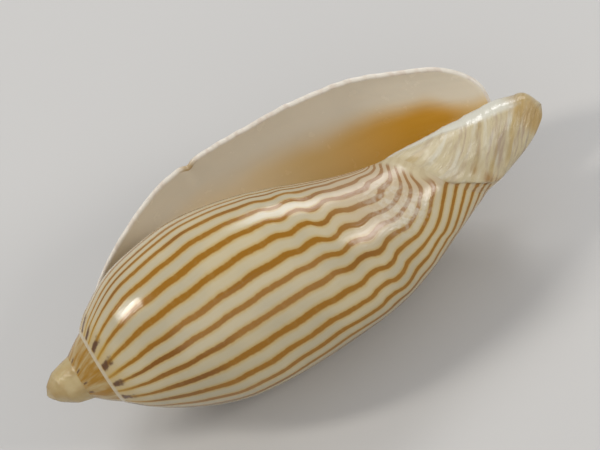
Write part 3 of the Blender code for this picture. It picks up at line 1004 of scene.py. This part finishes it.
def rim_finish():
    """White and pinkish steps along the lip, with the chip's ochre where it broke."""
    finish, tree, surface = shader("lip_edge", 0.3)
    across, share, _, _ = growth_values(tree)
    steps = clouds(tree, stretched(tree, share, 70.0, across, 0.6), 1.0, 3.0)
    colour = blend(tree, rise(tree, steps, 0.42, 0.68), RIM_WHITE, RIM_PINK)
    away = number(tree, "ABSOLUTE", number(tree, "SUBTRACT", share, CHIP_SHARE))
    chip = rise(tree, away, 0.03, 0.005)
    colour = blend(tree, number(tree, "MULTIPLY", chip, 0.8), colour, BAND_OCHRE)
    feed(tree, surface.inputs["Base Color"], colour)
    relief(tree, surface, number(tree, "MULTIPLY", steps, 0.10))
    return finish


finishes = (
    ("whorls", whorl_finish()),
    ("end", end_finish()),
    ("aperture", aperture_finish()),
    ("parietal", parietal_finish()),
    ("rim", rim_finish()),
)
surface_mesh = shell_mesh({name: i for i, (name, _) in enumerate(finishes)})
for _, finish in finishes:
    surface_mesh.materials.append(finish)
shell_surface = bpy.data.objects.new("shell_surface", surface_mesh)
bpy.context.scene.collection.objects.link(shell_surface)
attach(shell_surface, "root")
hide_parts("shell")

# The studio: a plain pale floor, a tall soft lamp to the left that makes the shoulder's
# highlight, others behind, to the right and in front, and the camera above the near side.
FLOOR_WIDTH = 6.0
FLOOR_GREY = (0.50, 0.49, 0.47, 1)
SKY_COLOUR, SKY_STRENGTH = (0.90, 0.93, 1.0, 1), 0.50
floor_mesh = bpy.data.meshes.new("floor")
half = FLOOR_WIDTH / 2
corners = [(-half, -half, 0), (half, -half, 0), (half, half, 0), (-half, half, 0)]
floor_mesh.from_pydata(corners, [], [(0, 1, 2, 3)])
floor = bpy.data.objects.new("floor", floor_mesh)
bpy.context.scene.collection.objects.link(floor)
floor_paint, _, floor_surface = shader("floor_paint", 0.7)
floor_surface.inputs["Base Color"].default_value = FLOOR_GREY
floor_mesh.materials.append(floor_paint)

world = bpy.data.worlds.new("studio")
bpy.context.scene.world = world
world.use_nodes = True
sky = world.node_tree.nodes["Background"]
sky.inputs["Color"].default_value = SKY_COLOUR
sky.inputs["Strength"].default_value = SKY_STRENGTH
bpy.context.scene.view_settings.view_transform = "Standard"

# The camera: how it was held in the photograph, worked out in the shell's own millimetres.
VIEW_TURN = 115 / 360
VIEW_TILT, VIEW_ROLL = math.radians(1.0), math.radians(30.8)
VIEW_DISTANCE = 440.0
PIXELS_PER_MM, PICTURE_WIDTH = 7.65, 600
OFFSET_RIGHT, OFFSET_DOWN = -5.5, 26.0
SENSOR_WIDTH = 36.0


def radial(angle):
    """Direction out from the shell's axis at an angle of growth."""
    return np.array([math.cos(angle), 0.0, -math.sin(angle)])


def view_axes():
    """Right, up and backward of the camera, before the shell is laid down: it looks at the
    side with growth angle VIEW_TURN, leans along the axis, and is rolled."""
    angle, along = 2 * math.pi * VIEW_TURN, np.array([0.0, 1.0, 0.0])
    facing, upward = radial(angle), radial(angle - math.pi / 2)
    back = facing * math.cos(VIEW_TILT) + along * math.sin(VIEW_TILT)
    right = along * math.cos(VIEW_TILT) - facing * math.sin(VIEW_TILT)
    across = right * math.cos(VIEW_ROLL) - upward * math.sin(VIEW_ROLL)
    up = right * math.sin(VIEW_ROLL) + upward * math.cos(VIEW_ROLL)
    return np.stack([across, up, back])


def placed(columns, spot):
    """A matrix with the given x, y and z directions and place."""
    matrix = np.eye(4)
    matrix[:3, :3], matrix[:3, 3] = np.stack(columns, 1), spot
    return mathutils.Matrix(matrix.tolist())


axes = view_axes()
middle = np.array([0.0, LENGTH / 2, 0.0])
offset = np.array([-OFFSET_RIGHT, OFFSET_DOWN, 0.0]) / PIXELS_PER_MM
eye = middle + (offset + (0, 0, VIEW_DISTANCE)) @ axes
laid_eye, laid_middle = laid_down(np.stack([eye, middle])) / 1000
laid_axes = laid_down(axes) - laid_down(np.zeros((1, 3)))
camera_data = bpy.data.cameras.new("camera")
camera_data.sensor_width = SENSOR_WIDTH
camera_data.lens = SENSOR_WIDTH * PIXELS_PER_MM * VIEW_DISTANCE / PICTURE_WIDTH
camera_data.clip_start, camera_data.clip_end = 0.01, 20
camera = bpy.data.objects.new("camera", camera_data)
camera.matrix_world = placed(laid_axes, laid_eye)
bpy.context.scene.collection.objects.link(camera)
bpy.context.scene.camera = camera


def lamp(name, power, width, height, direction, distance, colour):
    """A soft lamp that faces the shell from a direction in the camera's axes."""
    away = np.array(direction) @ laid_axes
    away /= np.linalg.norm(away)
    side = np.cross([0.0, 0.0, 1.0], away)
    side /= np.linalg.norm(side)
    data = bpy.data.lights.new(name, "AREA")
    data.shape, data.energy, data.color = "RECTANGLE", power, colour
    data.size, data.size_y = width, height
    light = bpy.data.objects.new(name, data)
    light.matrix_world = placed((side, np.cross(away, side), away), laid_middle + away * distance)
    bpy.context.scene.collection.objects.link(light)


lamp("key", 1.0, 0.06, 0.17, (-0.92, 0.18, 0.34), 0.5, (1.0, 0.96, 0.90))
lamp("back", 0.85, 0.18, 0.18, (-0.13, 0.98, 0.06), 0.5, (0.97, 0.98, 1.0))
lamp("right", 1.0, 0.11, 0.17, (0.60, 0.31, 0.74), 0.55, (1.0, 0.97, 0.93))
lamp("front", 5.0, 1.5, 1.5, (0.05, -0.40, 0.92), 1.3, (1.0, 0.98, 0.95))
